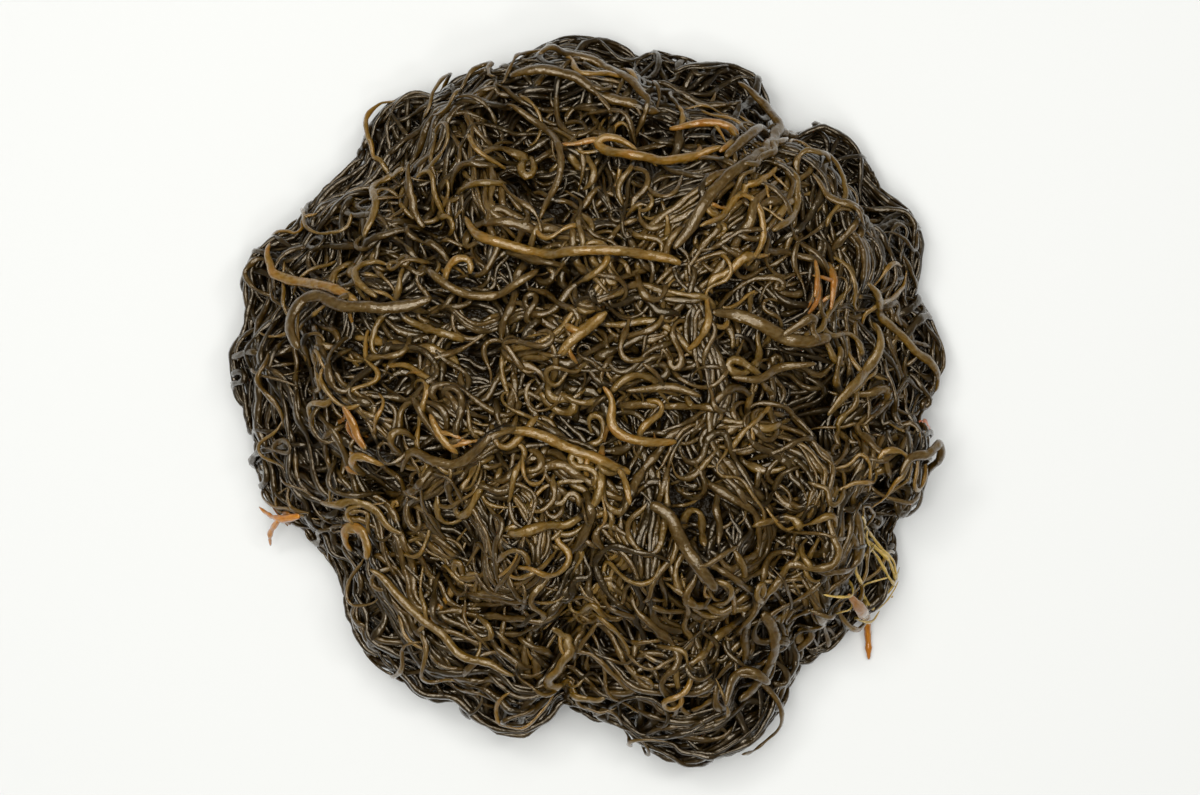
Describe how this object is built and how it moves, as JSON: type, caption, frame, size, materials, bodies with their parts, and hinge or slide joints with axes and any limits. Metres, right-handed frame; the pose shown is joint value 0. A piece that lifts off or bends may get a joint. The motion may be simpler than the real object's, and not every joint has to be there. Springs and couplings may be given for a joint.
{
  "type": "mozuku seaweed",
  "caption": "Drained heap of slippery brown seaweed threads, tangled in locks, with branched fronds lying free on top.",
  "frame": {"origin": "middle of the flat underside that the heap rests on", "axes": "+Z up; +X right and +Y up as the picture, taken from straight above, shows the heap"},
  "size_m": [0.1882, 0.1918, 0.0596],
  "materials": {
    "dark": "wet, glossy and slightly lumpy",
    "brown": "wet, glossy and slightly lumpy",
    "olive": "wet, glossy and slightly lumpy",
    "amber": "wet, glossy and slightly lumpy",
    "rust": "wet, glossy and slightly lumpy"
  },
  "bodies": {
    "root": {"tangled_threads": "dark", "frond_01": "amber", "frond_02": "amber", "frond_03": "olive", "frond_04": "brown", "frond_05": "amber", "frond_06": "brown", "frond_07": "brown", "frond_08": "brown", "frond_09": "olive", "frond_10": "brown", "frond_11": "brown", "frond_12": "amber", "frond_13": "amber", "frond_14": "rust", "frond_15": "brown", "frond_16": "brown", "frond_17": "amber", "frond_18": "olive", "frond_19": "brown", "frond_20": "rust", "frond_21": "rust", "frond_22": "brown", "frond_23": "olive", "frond_24": "olive", "frond_25": "brown", "frond_26": "brown", "frond_27": "amber", "frond_28": "amber", "frond_29": "amber", "frond_30": "brown", "frond_31": "rust", "frond_32": "amber", "frond_33": "olive", "frond_34": "amber", "frond_35": "olive", "frond_36": "olive", "frond_37": "brown", "frond_38": "brown", "frond_39": "rust", "frond_40": "brown", "frond_41": "brown", "frond_42": "rust"}
  },
  "joints": []
}
